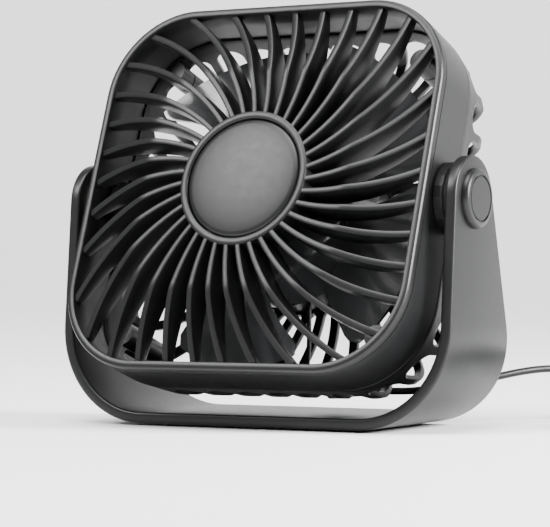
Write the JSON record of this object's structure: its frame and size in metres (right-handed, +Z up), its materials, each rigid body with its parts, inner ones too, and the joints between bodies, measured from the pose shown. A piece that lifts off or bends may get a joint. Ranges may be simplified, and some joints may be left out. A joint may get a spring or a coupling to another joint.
{
  "type": "desk fan",
  "caption": "Small square-headed desk fan that tilts in a U-shaped stand, with swirled grilles, a rear push button and a plug-ended cord.",
  "frame": {"origin": "on the surface that the fan stands on, on the underside of the base mat, below the pivot line and midway between the arms", "axes": "+Z up, -Y the way the fan blows before it leans back, +X to the fan's right as seen from the front, along the pivot line"},
  "size_m": [0.1987, 0.1479, 0.1434],
  "materials": {
    "shell": "fine satin, dark grey",
    "blade": "polished, mid grey",
    "inner": "matt, near black",
    "soft": "soft satin, dark grey",
    "steel": "bright",
    "plug_steel": "bright nickel plate",
    "ferrite": "dull grey",
    "copper": "enamelled copper wire",
    "board": "green lacquer",
    "bronze": "sintered bronze",
    "gold": "gold flash",
    "fibre": "pale",
    "tongue": "white"
  },
  "bodies": {
    "stand": {"stand_frame": "shell", "base_mat": "soft", "pivot_cap_left": "shell", "pivot_cap_right": "shell", "pivot_washer_left": "fibre", "pivot_washer_right": "fibre", "power_cord": "soft", "cord_coil": "soft", "coil_tie": "inner", "cord_tail": "soft", "plug_relief": "soft", "plug_body": "soft", "plug_shell": "plug_steel", "plug_tongue": "tongue", "plug_contact_1": "gold", "plug_contact_2": "gold", "plug_contact_3": "gold", "plug_contact_4": "gold"},
    "head": {"pivot_boss_left": "shell", "pivot_boss_right": "shell", "front_grille": "shell", "centre_cap": "shell", "front_housing": "shell", "rear_cover": "shell", "cord_gland": "soft", "motor_leads": "soft", "supply_lead": "soft", "pivot_screw_left": "steel", "pivot_screw_right": "steel", "stator_core": "steel", "housing_screw_1": "steel", "housing_screw_2": "steel", "housing_screw_3": "steel", "housing_screw_4": "steel", "motor_screw_1": "steel", "motor_screw_2": "steel", "motor_screw_3": "steel", "tact_switch": "ferrite", "stator_coil_1": "copper", "stator_coil_2": "copper", "stator_coil_3": "copper", "stator_coil_4": "copper", "motor_base": "inner", "control_board": "board", "sleeve_bearing_1": "bronze", "sleeve_bearing_2": "bronze"},
    "rotor": {"rotor": "blade", "magnet_yoke": "steel", "magnet_ring": "ferrite", "rotor_shaft": "steel", "shaft_clip": "steel"},
    "button": {"push_button": "inner"}
  },
  "joints": [
    {"name": "head_tilt", "type": "hinge", "parent": "stand", "child": "head", "pos_m": [0, 0, 0.0761], "axis": [1, 0, 0], "range_deg": [-45, 40], "deforming": ["power_cord"]},
    {"name": "rotor_spin", "type": "hinge", "parent": "head", "child": "rotor", "pos_m": [0, 0, 0.0761], "axis": [0, 0.9397, -0.342], "continuous": true},
    {"name": "button_press", "type": "slide", "parent": "head", "child": "button", "axis": [0, -0.9397, 0.342], "range_m": [0, 0.001], "stiffness_N_per_m": 400}
  ]
}
